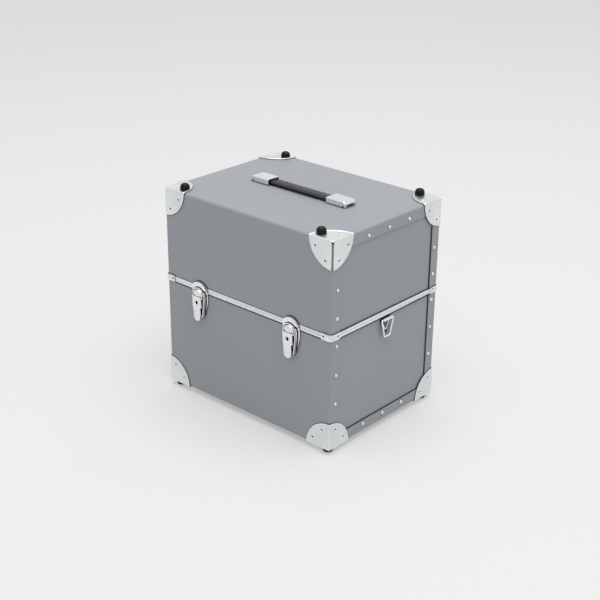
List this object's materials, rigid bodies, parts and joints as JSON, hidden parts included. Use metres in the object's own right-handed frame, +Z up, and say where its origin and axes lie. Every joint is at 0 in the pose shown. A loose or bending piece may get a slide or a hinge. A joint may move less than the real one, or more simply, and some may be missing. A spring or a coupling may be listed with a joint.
{
  "type": "record box",
  "caption": "Upright hinged case for 12-inch records: fibre shell, metal corners and rim, draw latches with locks, strap handle, end rings and rubber feet.",
  "frame": {"origin": "on the floor under the middle of the overall outline, between the latches' fronts and the hinges' backs", "axes": "+X to the case's right seen from the front, +Y from the latches to the hinges, +Z up"},
  "size_m": [0.3614, 0.2804, 0.3624],
  "materials": {
    "fibre": "satin grey, fine grain",
    "aluminium": "satin",
    "corner_steel": "bright zinc plate",
    "rivet_steel": "nickel plate",
    "black_rubber": "matt",
    "chrome": "polished",
    "lock_metal": "satin nickel over brass",
    "strap": "black, satin, rounded edges"
  },
  "bodies": {
    "base": {"base_wrap": "fibre", "base_end_left": "fibre", "base_end_right": "fibre", "base_rivets": "rivet_steel", "base_rim": "aluminium", "base_clasps": "aluminium", "base_corners": "corner_steel", "base_feet": "black_rubber", "foot_bolts": "rivet_steel", "base_hinge_left": "rivet_steel", "base_hinge_right": "rivet_steel", "hinge_pins": "rivet_steel", "latch_plate_left": "chrome", "latch_plate_right": "chrome", "lever_pin_left": "chrome", "lever_pin_right": "chrome", "ring_bracket_left": "chrome", "ring_bracket_right": "chrome"},
    "lid": {"lid_wrap": "fibre", "lid_end_left": "fibre", "lid_end_right": "fibre", "lid_rivets": "rivet_steel", "lid_rim": "aluminium", "lid_clasps": "aluminium", "lid_corners": "corner_steel", "lid_knobs": "black_rubber", "knob_bolts": "rivet_steel", "handle_caps": "chrome", "handle_bolts": "rivet_steel", "handle_backing": "rivet_steel", "strike_left": "chrome", "strike_right": "chrome", "lid_hinge_left": "rivet_steel", "lid_hinge_right": "rivet_steel"},
    "lever_left": {"latch_lever_left": "chrome", "bail_pin_left": "chrome"},
    "bail_left": {"latch_bail_left": "chrome"},
    "barrel_left": {"lock_barrel_left": "lock_metal"},
    "end_ring_left": {"ring_left": "chrome"},
    "lever_right": {"latch_lever_right": "chrome", "bail_pin_right": "chrome"},
    "bail_right": {"latch_bail_right": "chrome"},
    "barrel_right": {"lock_barrel_right": "lock_metal"},
    "end_ring_right": {"ring_right": "chrome"},
    "tongue_left": {"strap_tongue_left": "strap"},
    "ramp_left": {"strap_ramp_left": "strap"},
    "grip": {"strap_grip": "strap"},
    "ramp_right": {"strap_ramp_right": "strap"},
    "tongue_right": {"strap_tongue_right": "strap"}
  },
  "joints": [
    {"name": "lid_hinge", "type": "hinge", "parent": "base", "child": "lid", "pos_m": [0, 0.13438, 0.1972], "axis": [-1, 0, 0], "range_deg": [0, 105]},
    {"name": "lever_left", "type": "hinge", "parent": "base", "child": "lever_left", "pos_m": [-0.098, -0.13872, 0.18505], "axis": [-1, 0, 0], "range_deg": [0, 80]},
    {"name": "bail_left", "type": "hinge", "parent": "lever_left", "child": "bail_left", "pos_m": [-0.098, -0.13502, 0.15505], "axis": [-1, 0, 0], "range_deg": [-80, 0]},
    {"name": "barrel_left", "type": "hinge", "parent": "lever_left", "child": "barrel_left", "pos_m": [-0.098, -0.14002, 0.1762], "axis": [0, -1, 0], "range_deg": [0, 90]},
    {"name": "ring_left", "type": "hinge", "parent": "base", "child": "end_ring_left", "pos_m": [-0.178, -0.00002, 0.1872], "axis": [0, 1, 0], "range_deg": [0, 180]},
    {"name": "lever_right", "type": "hinge", "parent": "base", "child": "lever_right", "pos_m": [0.098, -0.13872, 0.18505], "axis": [-1, 0, 0], "range_deg": [0, 80]},
    {"name": "bail_right", "type": "hinge", "parent": "lever_right", "child": "bail_right", "pos_m": [0.098, -0.13502, 0.15505], "axis": [-1, 0, 0], "range_deg": [-80, 0]},
    {"name": "barrel_right", "type": "hinge", "parent": "lever_right", "child": "barrel_right", "pos_m": [0.098, -0.14002, 0.1762], "axis": [0, -1, 0], "range_deg": [0, 90]},
    {"name": "ring_right", "type": "hinge", "parent": "base", "child": "end_ring_right", "pos_m": [0.178, -0.00002, 0.1872], "axis": [0, -1, 0], "range_deg": [0, 180]},
    {"name": "strap_slide_left", "type": "slide", "parent": "lid", "child": "tongue_left", "axis": [1, 0, 0], "range_m": [0, 0.00844]},
    {"name": "strap_lift", "type": "hinge", "parent": "tongue_left", "child": "ramp_left", "pos_m": [-0.0605, -0.00002, 0.3548], "axis": [0, -1, 0], "range_deg": [0, 40]},
    {"name": "strap_bend_left", "type": "hinge", "parent": "ramp_left", "child": "grip", "pos_m": [-0.0245, -0.00002, 0.3548], "axis": [0, -1, 0], "range_deg": [-40, 0]},
    {"name": "strap_bend_right", "type": "hinge", "parent": "grip", "child": "ramp_right", "pos_m": [0.0245, -0.00002, 0.3548], "axis": [0, -1, 0], "range_deg": [-40, 0]},
    {"name": "strap_end_right", "type": "hinge", "parent": "ramp_right", "child": "tongue_right", "pos_m": [0.0605, -0.00002, 0.3548], "axis": [0, -1, 0], "range_deg": [0, 40]}
  ],
  "couplings": [
    {"joint": "bail_left", "follows": "lever_left", "ratio": -1},
    {"joint": "bail_right", "follows": "lever_right", "ratio": -1},
    {"joint": "strap_slide_left", "follows": "strap_lift", "m_per_rad": 0.012064},
    {"joint": "strap_bend_left", "follows": "strap_lift", "ratio": -1},
    {"joint": "strap_bend_right", "follows": "strap_lift", "ratio": -1},
    {"joint": "strap_end_right", "follows": "strap_lift", "ratio": 1}
  ]
}
